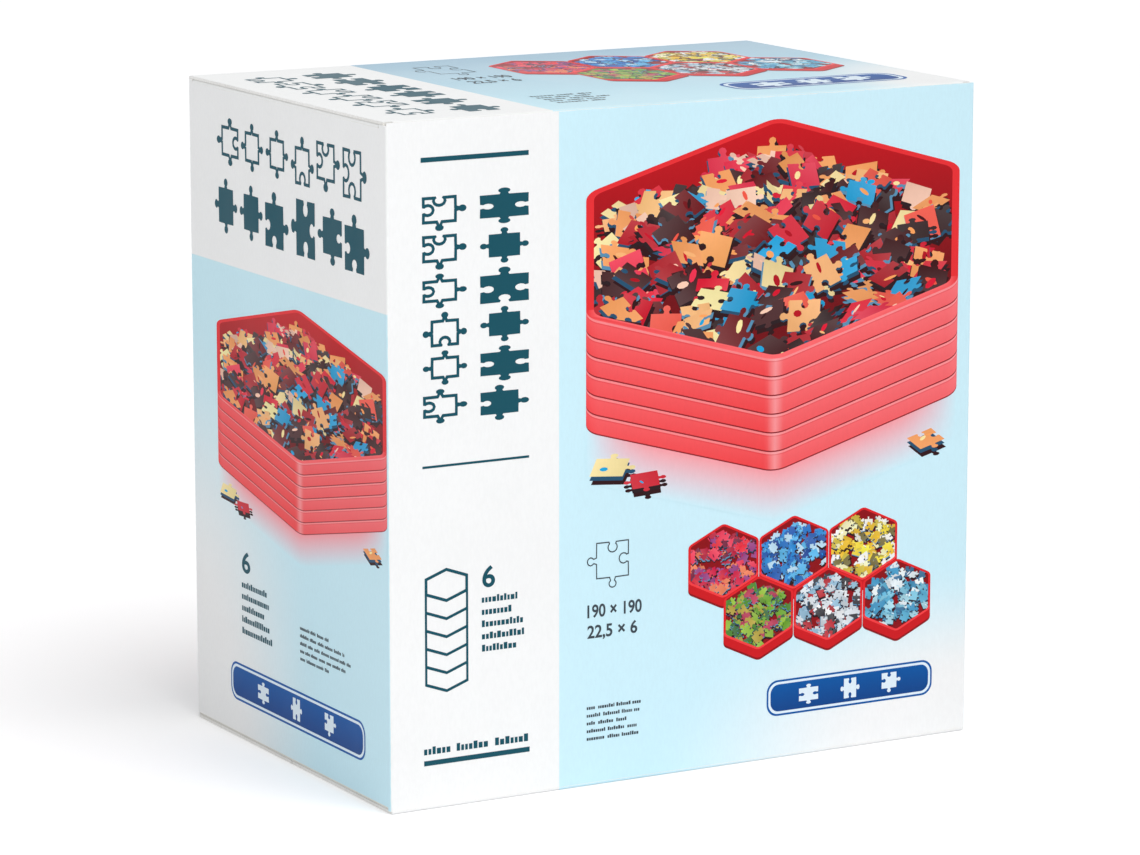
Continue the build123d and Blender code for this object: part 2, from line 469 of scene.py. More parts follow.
lean = math.radians(carton["tuckLean"])
tuckOut = (0, -math.cos(lean), -math.sin(lean))
underSkin, underLid = cartonTop - 0.3, cartonTop - 1.1
lidEnd, flapEnd, flapFront = halfWidth - 0.4, halfWidth - 2, halfDepth - 2
cutBoard("front_panel", (0, -1, 0), "front", lambda p: p.z > underSkin, (0, -1, 0))
cutBoard("back_panel", (0, 1, 0), "back", None, (0, 1, 0))
cutBoard("left_panel", (-1, 0, 0), "left", lambda p: p.z > underLid, (-1, 0, 0))
cutBoard("right_panel", (1, 0, 0), "right", lambda p: p.z > underLid, (1, 0, 0))
cutBoard("lid_panel", (0, 0, 1), "top", lambda p: abs(p.x) > lidEnd, (0, 0, 1))
cutBoard("tuck_flap", tuckOut, "top", lambda p: p.z < underLid, (0, 0, 1))
cutBoard("left_dust_flap", (0, 0, 1), "top", lambda p: p.x > -flapEnd)
cutBoard("right_dust_flap", (0, 0, 1), "top", lambda p: p.x < flapEnd)
cutBoard("glue_flap", (0, 1, 0), "lining", lambda p: p.x < flapEnd)
cutBoard("bottom_left_flap", (0, 0, -1), "lining", lambda p: p.x > -flapEnd)
cutBoard("bottom_right_flap", (0, 0, -1), "lining", lambda p: p.x < flapEnd)
cutBoard("bottom_front_flap", (0, 0, -1), "front", lambda p: p.y > -flapFront)
cutBoard("bottom_back_flap", (0, 0, -1), "front", lambda p: p.y < flapFront)
print("boards cut")

# Trays have softened rims and corners
tray = {"count": 6, "edge": 0.4, "segments": 3, "profile": 0.5}
for number in range(1, tray["count"] + 1):
    node = f"tray_{number}"
    shape = takeShape(node)
    softenEdges(shape, tray["edge"], tray["segments"], tray["profile"])
    moulding = makePiece(node + "_moulding", shape, making["trayCrisp"], ["plastic"])
    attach(moulding, "tray_stack")
    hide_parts(node)
print("trays moulded")


def mixInk(first, second, share):
    share = min(1.0, max(0.0, share))
    return tuple(a + (b - a) * share for a, b in zip(first, second))


def shadeInk(colour, level):
    return tuple(min(1.0, c * level) for c in colour[:3]) + (1.0,)


def turnOf(outline):
    # Twice the area, negative when the outline runs the other way round
    return sum(a[0] * b[1] - b[0] * a[1] for a, b in zip(outline, outline[1:] + outline[:1]))


laying = {
    "smallest": 0.001,    # outlines with less than half of this, in square mm, are left out
    "tolerance": 1e-5,    # corners nearer than this become one when outlines are laid,
    "weld": 1e-4,         # and nearer than this when the sheet is finished
    "flat": 0.5,          # degrees
}


# A motif is a list of outlines in millimetres, across and down its face, each with a
# paint: one colour, or a rule that gives the colour at a place, or None to leave the
# board bare. The last outline laid lies on top. The first few may stay in plain triangles.
def layInk(shapes, plain=0):
    points, loops = [], []
    shapes = [s for s in shapes if abs(turnOf(s[0])) > laying["smallest"]]
    for outline, paint in shapes:
        if turnOf(outline) < 0:
            outline = outline[::-1]
        loops.append(list(range(len(points), len(points) + len(outline))))
        points.extend(Vector(p) for p in outline)
    insideOnly = 1
    spots, _, pieces, _, _, owners = geometry.delaunay_2d_cdt(
        points, [], loops, insideOnly, laying["tolerance"], True)
    sheet = bmesh.new()
    corners = [sheet.verts.new((p.x, p.y, 0)) for p in spots]
    for piece, owner in zip(pieces, owners):
        if owner and shapes[max(owner)][1] is not None:
            sheet.faces.new([corners[i] for i in piece]).material_index = max(owner)
    # Joins what belongs to one outline, so that what lies hidden leaves no cuts behind
    sheet.normal_update()
    within = [e for e in sheet.edges if all(f.material_index >= plain for f in e.link_faces)]
    bmesh.ops.dissolve_limit(sheet, angle_limit=math.radians(laying["flat"]), verts=sheet.verts,
                             edges=within, use_dissolve_boundaries=False, delimit={"MATERIAL"})
    laid = []
    for face in sheet.faces:
        paint = shapes[face.material_index][1]
        outline = [(v.co.x, v.co.y) for v in face.verts]
        colours = [paint(u, v) if callable(paint) else paint for u, v in outline]
        laid.append((outline, colours))
    sheet.free()
    return laid


def fitted(outline, place, ends=None):
    # The outline stretched to fill a rectangle, by its own ends or those of a whole motif
    u0, v0, u1, v1 = place
    us, vs = zip(*(ends or outline))
    lowU, lowV, wide, high = min(us), min(vs), max(us) - min(us), max(vs) - min(vs)
    return [(u0 + (u - lowU) / wide * (u1 - u0), v0 + (v - lowV) / high * (v1 - v0)) for u, v in outline]


def stamp(laid, place):
    # Places a finished motif in a rectangle of a face
    us, vs = zip(*(spot for outline, _ in laid for spot in outline))
    ends = ((min(us), min(vs)), (max(us), max(vs)))
    return [(fitted(outline, place, ends), colours) for outline, colours in laid]


# One jigsaw piece about the origin, its body one unit wide. Each side has a knob (1),
# a socket (-1) or neither (0). A knob is part of a flattened circle, given in degrees.
knob = {"neck": 0.1, "foot": 0.005, "wide": 0.125, "tall": 0.118, "middle": 0.165, "start": 232, "sweep": 284}


def jigsawOutline(tabs, steps=10):
    side = [(-0.5, 0.0), (-knob["neck"], knob["foot"])]
    for step in range(steps + 1):
        turn = math.radians(knob["start"] - knob["sweep"] * step / steps)
        side.append((knob["wide"] * math.cos(turn), knob["middle"] + knob["tall"] * math.sin(turn)))
    side.append((knob["neck"], knob["foot"]))
    outline = []
    for quarter, tab in enumerate(tabs):
        cosine, sine = (1, 0, -1, 0)[quarter], (0, -1, 0, 1)[quarter]
        for x, y in side if tab else side[:1]:
            y = 0.5 + y * tab
            outline.append((x * cosine - y * sine, x * sine + y * cosine))
    return outline


def drawnIn(outline, width):
    # The same outline moved inward by the width, for outlined motifs
    count = len(outline)
    hand = 1 if turnOf(outline) > 0 else -1
    inner = []
    for index, (x, y) in enumerate(outline):
        before, after = outline[index - 1], outline[(index + 1) % count]
        first = Vector((x - before[0], y - before[1])).normalized()
        second = Vector((after[0] - x, after[1] - y)).normalized()
        along = (first + second).normalized()
        reach = width / max(0.5, along.dot(first))
        inner.append((x - along.y * reach * hand, y + along.x * reach * hand))
    return inner


def bar(u0, v0, u1, v1, paint, corner=0.0, steps=8):
    if corner <= 0:
        return ([(u0, v0), (u1, v0), (u1, v1), (u0, v1)], paint)
    outline = []
    for u, v, start in ((u1 - corner, v0 + corner, -90), (u1 - corner, v1 - corner, 0),
                        (u0 + corner, v1 - corner, 90), (u0 + corner, v0 + corner, 180)):
        for step in range(steps + 1):
            turn = math.radians(start + 90 * step / steps)
            outline.append((u + corner * math.cos(turn), v + corner * math.sin(turn)))
    return (outline, paint)


# Small print is set in plain blocks, all measured in heights of the print
smallPrint = {
    "wide": (0.36, 0.62),
    "tall": (0.74, 0.74, 0.74, 1.0),
    "gap": 0.17,
    "word": (2.4, 6.0),
    "space": 0.6,
    "leastBlock": 0.3,
    "lineShort": (0.0, 0.45),     # share of its room that a line leaves empty
    "wordLong": (0.66, 1.0),      # and that a single word takes
    "seedStep": 40,
}


def blockWord(u0, u1, v, height, paint, dice):
    blocks, u = [], u0
    while u < u1 - height * smallPrint["leastBlock"]:
        wide = height * dice.uniform(*smallPrint["wide"])
        tall = height * dice.choice(smallPrint["tall"])
        blocks.append(bar(u, v + height - tall, min(u + wide, u1), v + height, paint))
        u += wide + height * smallPrint["gap"]
    return blocks


def blockLine(place, height, paint, seed):
    u0, v, u1 = place
    dice = random.Random(seed)
    blocks, u = [], u0
    while u < u1 - height:
        reach = min(u + height * dice.uniform(*smallPrint["word"]), u1)
        blocks += blockWord(u, reach, v, height, paint, dice)
        u = reach + height * smallPrint["space"]
    return blocks


def finePrint(place, pitch, height, seed, lines=5):
    u0, v0, u1 = place
    shapes = []
    for line in range(lines):
        reach = u1 - random.Random(seed + line).uniform(*smallPrint["lineShort"]) * (u1 - u0)
        row = (u0, v0 + pitch * line, reach)
        shapes += blockLine(row, height, inks["slate"], seed + smallPrint["seedStep"] + line)
    return shapes


def wordList(place, pitch, height, seed, lines=5):
    # Single words one under another
    u0, v0, u1 = place
    dice = random.Random(seed)
    shapes = []
    for line in range(lines):
        reach = u0 + (u1 - u0) * dice.uniform(*smallPrint["wordLong"])
        shapes += blockWord(u0, reach, v0 + pitch * line, height, inks["teal"], dice)
    return shapes


def plainNumber(place, text, paint, bolder=0.02):
    # Plain numbers from Blender's own typeface, a little bolder, set to fill a box
    letters = bpy.data.curves.new("number", "FONT")
    letters.body = text
    letters.offset = bolder
    carrier = bpy.data.objects.new("number", letters)
    mesh = bpy.data.meshes.new_from_object(carrier)
    placed = fitted([(p.co.x, -p.co.y) for p in mesh.vertices], place)
    shapes = [([placed[i] for i in face.vertices], paint) for face in mesh.polygons]
    bpy.data.objects.remove(carrier)
    bpy.data.curves.remove(letters)
    bpy.data.meshes.remove(mesh)
    return shapes


# Titles stand as rows of jigsaw motifs, one row in outline and one solid
def motifRow(place, seed, down=True, stroke=None, count=6):
    u0, v0, u1, v1 = place
    filled = 0.9          # of each motif's room, the rest is the gap to the next
    dice = random.Random(seed)
    shapes = []
    for index in range(count):
        tabs = [dice.choice((1, -1)) for _ in range(4)]
        tabs[index % 4] = 1
        if down:
            step = (v1 - v0) / count
            cell = (u0, v0 + step * index, u1, v0 + step * (index + filled))
        else:
            step = (u1 - u0) / count
            cell = (u0 + step * index, v0, u0 + step * (index + filled), v1)
        outline = fitted(jigsawOutline(tabs), cell)
        shapes.append((outline, inks["teal"]))
        if stroke:
            shapes.append((drawnIn(outline, stroke), None))
    return shapes


def rule(place):
    return [bar(*place, inks["teal"])]


# A six-sided bin seen from above at a corner, its corners rounded. Each place also gives
# the way it faces, in degrees.
def binOutline(reach, corner, steps):
    outline = []
    for side in range(6):
        middle = -90 + 60 * side
        away = reach - corner / math.cos(math.radians(30))
        centre = Vector((math.cos(math.radians(middle)), math.sin(math.radians(middle)))) * away
        for step in range(steps + 1):
            degrees = middle - 30 + 60 * step / steps
            turn = math.radians(degrees)
            place = (centre.x + corner * math.cos(turn), centre.y + corner * math.sin(turn))
            outline.append(place + (degrees - 360 if degrees > 179 else degrees,))
    return outline


def nearHalf(outline):
    # The corners that face the viewer, from left to right
    return sorted((w for w in outline if w[1] < 0), key=lambda w: w[0])


def binRims(p):
    # The outer and the inner outline of a rim, and the near half of each
    inside = p["reach"] - p["rim"] / math.cos(math.radians(30))
    outer = binOutline(p["reach"] - p["seam"], p["corner"], p["cornerSteps"])
    inner = binOutline(inside, p["corner"] - p["rim"], p["cornerSteps"])
    return outer, inner, nearHalf(outer), nearHalf(inner)


sixWide = 0.866           # half the width of a six-sided outline that reaches 1


def spotInBin(dice):
    # A random place in such an outline, and how near its edge that is
    while True:
        x, y = dice.uniform(-1, 1), dice.uniform(-1, 1)
        away = max(abs(x) / sixWide, (abs(x) * 0.5 + abs(y) * sixWide) / sixWide)
        if away <= 1:
            return x, y, away


def valueAt(line, u):
    # The value of a run of (place, value) pairs between its places
    for (u0, a), (u1, b) in zip(line, line[1:]):
        if u <= u1:
            return a + (b - a) * min(1.0, max(0.0, (u - u0) / max(1e-6, u1 - u0)))
    return line[-1][1]


def seenAt(view, x, y, z):
    # Where a place shows in a picture that looks down by the angle of its view
    return (x, -(z * math.cos(view) + y * math.sin(view)))


# A loose jigsaw piece in a picture. Its marks are measured in widths of the piece.
loosePiece = {
    "lamp": Vector((-0.35, -0.35, 0.87)),
    "dim": 0.72,          # light on a piece that is turned from the lamp
    "lit": 0.4,           # and what the lamp adds
    "leastSeen": 0.3,     # pieces nearer to edge-on are left out
    "heightWeight": 0.6,  # in the order in which they are laid
    "sides": (1, 1, -1, -1, 0),
    "sizes": (0.9, 1.08),
    "tones": (0.9, 1.1),
    "sheen": 0.05,
    "shade": 0.84,
    "edges": (ink(38, 84, 116), ink(40, 22, 28), ink(92, 150, 186)),
    "edgeTone": 0.9,
    "shadow": ink(44, 8, 14),
    "shadowDrop": 1.2,
    "shadowShift": (0.05, 0.10),
    "markSpread": 0.25,
    "markLong": (0.12, 0.26),
    "markWide": (0.04, 0.12),
    "markLimit": 0.4,
    "markSteps": 8,
}


def leafMark(dice):
    # A leaf-shaped patch that stays clear of the edge of its piece
    spread, limit = loosePiece["markSpread"], loosePiece["markLimit"]
    a, b = dice.uniform(-spread, spread), dice.uniform(-spread, spread)
    long, wide = dice.uniform(*loosePiece["markLong"]), dice.uniform(*loosePiece["markWide"])
    swing = dice.uniform(0, math.pi)
    cosine, sine = math.cos(swing), math.sin(swing)
    leaf = []
    for step in range(loosePiece["markSteps"]):
        angle = math.tau * step / loosePiece["markSteps"]
        p, q = long * math.cos(angle), wide * math.sin(angle)
        leaf.append((a + p * cosine - q * sine, b + p * sine + q * cosine))
    return [(min(limit, max(-limit, p)), min(limit, max(-limit, q))) for p, q in leaf]


def looseHeap(dice, pile, place, view, colours):
    # Jigsaw pieces tumbled in a heap, the far ones first. place gives a random spot.
    own, size, thick = loosePiece, pile["size"], pile["thick"]
    toEye = Vector((0, -math.cos(view), math.sin(view)))
    spots = sorted((place(dice) for _ in range(pile["count"])),
                   key=lambda p: -p[1] - own["heightWeight"] * p[2] + dice.uniform(-1, 1) * size)
    shapes = []
    for x, y, z in spots:
        tilt = (Matrix.Rotation(dice.gauss(0, pile["tumble"]), 3, "X")
                @ Matrix.Rotation(dice.gauss(0, pile["tumble"]), 3, "Y"))
        turn = tilt @ Matrix.Rotation(dice.uniform(0, math.tau), 3, "Z")
        normal = turn @ Vector((0, 0, 1))
        if normal.dot(toEye) < own["leastSeen"]:
            continue
        tabs = [dice.choice(own["sides"]) for _ in range(4)]
        scale = size * dice.uniform(*own["sizes"])

        def drawn(outline, drop=0.0, shift=(0.0, 0.0)):
            made = []
            for a, b in outline:
                spot = turn @ Vector((a * scale, b * scale, -drop))
                u, v = seenAt(view, x + spot.x, y + spot.y, z + spot.z)
                made.append((u + shift[0], v + shift[1]))
            return made

        outline = jigsawOutline(tabs, pile["knobSteps"])
        light = own["dim"] + own["lit"] * max(0.0, normal.dot(own["lamp"]))
        colour = shadeInk(dice.choice(colours), light * dice.uniform(*own["tones"]))
        edge = dice.choice(own["edges"])
        shift = [size * share for share in own["shadowShift"]]
        shapes.append((drawn(outline, thick * own["shadowDrop"], shift), own["shadow"]))
        shapes.append((drawn(outline, thick), shadeInk(edge, own["edgeTone"])))
        near = mixInk(colour, ink(255, 255, 255), own["sheen"])
        far = shadeInk(colour, own["shade"])
        across = Vector((dice.uniform(-1, 1), dice.uniform(-1, 1)))
        middle = drawn([(0, 0)])[0]

        def blend(u, v, near=near, far=far, across=across, middle=middle):
            along = (u - middle[0]) * across.x + (v - middle[1]) * across.y
            return mixInk(far, near, 0.5 + along / size)

        shapes.append((drawn(outline), blend))
        for _ in range(dice.choice(pile["marks"])):
            mark = dice.choice(colours)
            shapes.append((drawn(leafMark(dice)), shadeInk(mark, light)))
    return shapes


def heapIn(mouth, shapes, clear=40.0):
    # Lays a heap and bares everything round its mouth, with one frame over and one under
    left, right = mouth.index(min(mouth)), mouth.index(max(mouth))
    loop = mouth + mouth
    one = loop[left:right + 1] if left < right else loop[left:right + len(mouth) + 1]
    other = loop[right:left + 1] if right < left else loop[right:left + len(mouth) + 1]
    one, other = sorted((one, other[::-1]), key=lambda chain: sum(v for _, v in chain) / len(chain))
    start, stop = mouth[left][0] - clear, mouth[right][0] + clear
    heights = [v for _, v in mouth]
    for chain, edge in ((one, min(heights) - clear), (other, max(heights) + clear)):
        around = [(stop, chain[-1][1]), (stop, edge), (start, edge), (start, chain[0][1])]
        shapes = shapes + [(chain + around, None)]
    return layInk(shapes, 1)


heapInks = [ink(*c) for c in (
    (246, 160, 92), (246, 160, 92), (250, 182, 120), (206, 14, 42), (222, 22, 52), (176, 10, 30),
    (234, 84, 66), (250, 225, 160), (24, 160, 214), (44, 8, 12), (64, 10, 16), (248, 200, 176),
    (112, 12, 20), (230, 46, 76))]

bigPicture = {
    "seed": 11,
    "reach": 75.0,        # from the middle of a bin to a corner
    "corner": 8.0,
    "cornerSteps": 6,
    "rim": 2.6,
    "seam": 0.0,
    "bins": 6,
    "stack": 42.0,
    "view": math.radians(31),
    "heap": {"count": 300, "size": 10.6, "thick": 1.5, "tumble": 0.38, "knobSteps": 6,
             "marks": (0, 1, 1, 2)},
    "margin": 7.0,        # between the heap and a corner of its bin
    "sunk": 8.0,          # how far below the rim the heap starts
    "dome": 12.0,         # how much higher it is in the middle
    "forward": 1.0,
    "strays": {"count": 1, "thick": 1.5, "tumble": 0.02, "knobSteps": 6, "marks": (1, 2)},
    "strayLift": 1.0,
    "strayPlaces": ((-57.0, -62.0, 11.0), (-45.0, -72.0, 10.0), (54.0, -66.0, 10.6)),
    "glow": 16.0,         # how far down the light from the ground reaches
    "glowInk": ink(255, 138, 146),
    "glowStrength": 0.85,
    "glowAbove": 0.8,
    "glowEven": 0.62,     # the share of the width in which it is even
    "glowCells": (26, 5),
    "coral": ink(242, 68, 72),
    "rose": ink(252, 122, 128),
    "pale": ink(255, 190, 193),
    "rosy": 0.42,         # how much rose is in the coral, and what changes it
    "rosyTurn": 0.35,
    "rosySide": 0.25,
    "rosyLow": 0.3,
    "cornerGlint": 0.5,
    "glintTurn": 22,      # degrees
    "rimRed": ink(234, 46, 52),
    "rimGlint": ink(255, 106, 110),
    "glintEnd": 0.93,
    "inside": (ink(200, 16, 28), ink(112, 4, 14)),
    "insideFrom": -72.0,
    "insideSpan": 52.0,
    # Each bin from its lip down: where a band starts and stops, how deep its red is, and
    # the tint mixed in. They are the lip, the line under it, the wall and the gap below.
    "bands": ((0.0, 0.12, 0.0, ink(255, 190, 193), 0.34), (0.12, 0.18, 0.4, ink(205, 36, 48), 0.30),
              (0.18, 0.93, 0.3, ink(242, 68, 72), 0.0), (0.93, 1.0, 0.0, ink(128, 10, 22), 0.95)),
}


def drawGlow(p, base, edge):
    # What the ground throws back under the stack, thinning out down and sideways
    def glow(u, v):
        down = (v - valueAt(base, u)) / p["glow"]
        side = max(0.0, (abs(u) / edge - p["glowEven"]) / (1 - p["glowEven"]))
        strength = p["glowStrength"] * min(1.0, max(0.0, 1 - down)) * max(0.0, 1 - side ** 2)
        return p["glowInk"][:3] + (strength,)

    columns, rows = p["glowCells"]

    def groundSpot(column, row):
        u = -edge + 2 * edge * column / columns
        return (u, valueAt(base, u) - p["glowAbove"] + (p["glow"] + p["glowAbove"]) * row / rows)

    shapes = []
    for column in range(columns):
        for row in range(rows):
            cell = [groundSpot(column + a, row + b) for a, b in ((0, 0), (1, 0), (1, 1), (0, 1))]
            shapes.append((cell, glow))
    return shapes


def drawWalls(p, front, edge):
    turns = [(x, turn) for x, _, turn in front]

    def wallInk(u, low):
        # The left wall is the deeper red, and each corner has a soft glint
        turn = valueAt(turns, u) + 90
        rosy = (p["rosy"] + p["rosyTurn"] * math.sin(math.radians(turn))
                + p["rosySide"] * abs(u) / edge - p["rosyLow"] * low)
        glint = p["cornerGlint"] * max(0.0, 1 - abs(turn) / p["glintTurn"])
        return mixInk(mixInk(p["coral"], p["rose"], rosy), p["pale"], glint)

    def down(z):
        return [seenAt(p["view"], x, y, p["stack"] - z) for x, y, _ in front]

    shapes = []
    each = p["stack"] / p["bins"]
    for number in range(p["bins"]):
        for start, stop, dark, tint, share in p["bands"]:
            upper, lower = down(each * (number + start)), down(each * (number + stop))

            def paint(u, v, upper=upper, dark=dark, tint=tint, share=share):
                return mixInk(wallInk(u, dark + (v - valueAt(upper, u)) / each), tint, share)

            for k in range(len(front) - 1):
                shapes.append(([upper[k], upper[k + 1], lower[k + 1], lower[k]], paint))
    return shapes


def drawStack(p):
    dice = random.Random(p["seed"])
    outer, inner, front, lip = binRims(p)
    edge, top, room = front[-1][0], p["stack"], p["reach"] - p["margin"]

    def level(outline, z):
        return [seenAt(p["view"], x, y, z) for x, y, _ in outline]

    def rimInk(u, v):
        return mixInk(p["rimGlint"], p["rimRed"], (abs(u) / edge - p["glintEnd"]) / (1 - p["glintEnd"]))

    shapes = drawGlow(p, level(front, 0), edge) + drawWalls(p, front, edge)
    mouth = level(inner, top)
    shapes += [(level(outer, top), p["rimRed"]),
               (level(front, top) + level(lip[::-1], top), rimInk),
               (mouth, None)]

    # A few pieces lie on the ground beside the bins
    for x, y, size in p["strayPlaces"]:
        stray = dict(p["strays"], size=size)
        shapes += looseHeap(dice, stray, lambda d, x=x, y=y: (x, y, p["strayLift"]), p["view"], heapInks)

    def inMouth(dice):
        x, y, away = spotInBin(dice)
        return (x * room, y * room - p["forward"], top - p["sunk"] + p["dome"] * (1 - away ** 2))

    def depthInk(u, v):
        return mixInk(*p["inside"], (v - p["insideFrom"]) / p["insideSpan"])

    heap = looseHeap(dice, p["heap"], inMouth, p["view"], heapInks)
    return layInk(shapes) + heapIn(mouth, [(mouth, depthInk)] + heap)


smallPicture = {
    "seed": 29,
    "reach": 14.26,
    "corner": 2.2,
    "cornerSteps": 4,
    "rim": 0.9,
    "seam": 0.12,         # between neighbours
    "deep": 5.2,
    "view": math.radians(52),
    "inRow": 3,
    "heap": {"count": 112, "size": 3.0, "thick": 0.45, "tumble": 0.3, "knobSteps": 3, "marks": (0, 0, 1)},
    "margin": 1.6,
    "filled": 0.75,       # how high the heap stands in its dish
    "wall": ink(206, 22, 30),
    "foot": ink(140, 10, 20),
    "footHigh": 0.2,
    "rimRed": ink(226, 34, 40),
    "lip": ink(244, 62, 66),
    "inside": ink(140, 8, 18),
}

dishInks = [[ink(*c) for c in group] for group in (
    ((214, 20, 70), (190, 20, 60), (235, 60, 90), (150, 60, 130), (240, 130, 90), (120, 20, 60),
     (228, 40, 60)),
    ((20, 110, 190), (40, 140, 215), (14, 70, 150), (90, 180, 230), (30, 90, 170), (190, 225, 245)),
    ((250, 225, 60), (245, 240, 190), (252, 250, 240), (235, 190, 40), (200, 180, 60), (120, 110, 60)),
    ((110, 165, 40), (70, 130, 30), (150, 190, 60), (60, 110, 60), (180, 160, 60), (190, 60, 90)),
    ((240, 242, 245), (225, 232, 238), (205, 215, 222), (60, 60, 66), (190, 50, 60), (150, 190, 215)),
    ((130, 200, 225), (90, 175, 210), (170, 220, 235), (60, 150, 195), (230, 240, 245), (50, 110, 150)))]


def drawDishes(p):
    dice = random.Random(p["seed"])
    outer, inner, front, lip = binRims(p)
    wide, room = p["reach"] * math.sqrt(3), p["reach"] - p["margin"]
    bodies, heaps = [], []
    for index, colours in enumerate(dishInks):
        row, column = divmod(index, p["inRow"])
        shiftX, shiftY = (column + 0.5 * row) * wide, -1.5 * row * p["reach"]

        def level(outline, z):
            return [seenAt(p["view"], x + shiftX, y + shiftY, z) for x, y, _ in outline]

        def inDish(dice):
            x, y, _ = spotInBin(dice)
            return (x * room + shiftX, y * room + shiftY, p["deep"] * p["filled"])

        upper, lower, mouth = level(front, p["deep"]), level(front, 0), level(inner, p["deep"])
        bodies += [(upper + lower[::-1], p["wall"]),
                   (level(front, p["deep"] * p["footHigh"]) + lower[::-1], p["foot"]),
                   (level(outer, p["deep"]), p["rimRed"]),
                   (upper + level(lip[::-1], p["deep"]), p["lip"]),
                   (mouth, None)]
        heap = looseHeap(dice, p["heap"], inDish, p["view"], colours)
        heaps += heapIn(mouth, [(mouth, p["inside"])] + heap)
    return layInk(bodies) + heaps


# Small signs of the pack: a stack in outline, one piece in outline, and a plain label
def stackSign(place, stroke, bins=6, flatter=0.62, upright=0.8):
    u0, v0, u1, v1 = place
    middle, reach = (u0 + u1) / 2, (u1 - u0) / 2
    outline = []
    for corner in range(6):
        turn = math.radians(60 * corner)
        outline.append((middle + math.sin(turn) * reach / sixWide,
                        v0 + reach * flatter * (1 - math.cos(turn)) / sixWide))
    shapes = [(outline, inks["teal"]), (drawnIn(outline, stroke), None)]
    low, drop = outline[2][1], outline[3][1] - outline[2][1]
    pitch = (v1 - v0 - (outline[3][1] - v0)) / (bins - 1)
    for step in range(1, bins):
        v = low + pitch * step
        shapes.append(([(u0, v - stroke), (u0, v), (middle, v + drop), (u1, v), (u1, v - stroke),
                        (middle, v + drop - stroke)], inks["teal"]))
    for u in (u0, u1 - stroke * upright):
        shapes.append(bar(u, low, u + stroke * upright, low + pitch * (bins - 1), inks["teal"]))
    return shapes


def pieceSign(place, stroke):
    outline = fitted(jigsawOutline((1, -1, -1, 1)), place)
    return [(outline, inks["slate"]), (drawnIn(outline, stroke), None)]


# The label, in shares of its height
label = {
    "line": 0.055,
    "inset": 2.2,         # lines
    "corners": (0.34, 0.30, 0.26),
    "motifSize": 0.50,
    "motifWide": 0.62,
    "motifTop": 0.22,
    "motifs": ((1, -1, 1, -1), (-1, 1, -1, 1), (1, 1, -1, -1)),
}


def plainLabel(place):
    u0, v0, u1, v1 = place
    high = v1 - v0
    line = high * label["line"]

    def deep(u, v):
        return mixInk(inks["labelBlue"], inks["labelDeep"], (v - v0) / high)

    paints = (inks["labelBlue"], inks["labelRing"], deep)
    insets = (0.0, line, label["inset"] * line)
    shapes = [bar(u0 + inset, v0 + inset, u1 - inset, v1 - inset, paint, high * corner)
              for inset, paint, corner in zip(insets, paints, label["corners"])]
    half = high * label["motifSize"] * label["motifWide"]
    step = (u1 - u0) / (len(label["motifs"]) + 1)
    for index, tabs in enumerate(label["motifs"]):
        u = u0 + step * (index + 1)
        cell = (u - half, v0 + high * label["motifTop"], u + half, v0 + high * (1 - label["motifTop"]))
        shapes.append((fitted(jigsawOutline(tabs), cell), inks["labelRing"]))
    return shapes


stackInk = drawStack(bigPicture)
dishInk = drawDishes(smallPicture)
print("pictures drawn:", len(stackInk), "and", len(dishInk), "patches of ink")

# What each face carries: how a motif is made, its place in millimetres from the top left
# corner of the face, and its other values. The pictures go on last.
teal, slate = inks["teal"], inks["slate"]
frontLayout = {
    "topRule": (rule, (11, 10.7, 46, 12.1), {}),
    "middleRule": (rule, (11, 100.0, 46, 100.7), {}),
    "bottomRule": (rule, (11, 187.3, 46, 188.8), {}),
    "openTitle": (motifRow, (11.3, 22.0, 25.7, 89.0), dict(seed=3, stroke=0.9)),
    "solidTitle": (motifRow, (30.0, 21.0, 46.0, 89.8), dict(seed=5)),
    "stackSign": (stackSign, (11.5, 130.5, 25.7, 167.5), dict(stroke=0.9)),
    "count": (plainNumber, (30.4, 131.3, 34.6, 137.8), dict(text="6", paint=teal)),
    "words": (wordList, (30.2, 140.2, 45.5), dict(pitch=3.65, height=2.0, seed=7)),
    "bottomLine": (blockLine, (11, 183.2, 46), dict(height=2.3, paint=teal, seed=9)),
    "pieceSign": (pieceSign, (65.3, 128.5, 79.6, 142.6), dict(stroke=0.35)),
    "across": (plainNumber, (65.5, 147.0, 84.0, 151.0), dict(text="190 \u00d7 190", paint=slate)),
    "deep": (plainNumber, (65.5, 153.2, 82.5, 157.8), dict(text="22,5 \u00d7 6", paint=slate)),
    "finePrint": (finePrint, (65.3, 177.6, 88.5), dict(pitch=2.35, height=1.1, seed=60)),
    "label": (plainLabel, (127.8, 177.7, 187.5, 188.8), {}),
}
sideLayout = {
    "openTitle": (motifRow, (20.0, 10.0, 121.5, 24.5), dict(seed=13, down=False, stroke=1.0)),
    "solidTitle": (motifRow, (18.0, 28.7, 123.0, 45.5), dict(seed=15, down=False)),
    "count": (plainNumber, (33.8, 142.1, 39.6, 148.8), dict(text="6", paint=teal)),
    "words": (wordList, (33.5, 151.6, 54.5), dict(pitch=3.6, height=2.0, seed=17)),
    "finePrint": (finePrint, (73.5, 157.6, 108.0), dict(pitch=2.35, height=1.1, seed=70)),
    "label": (plainLabel, (25.0, 178.0, 116.0, 190.0), {}),
}
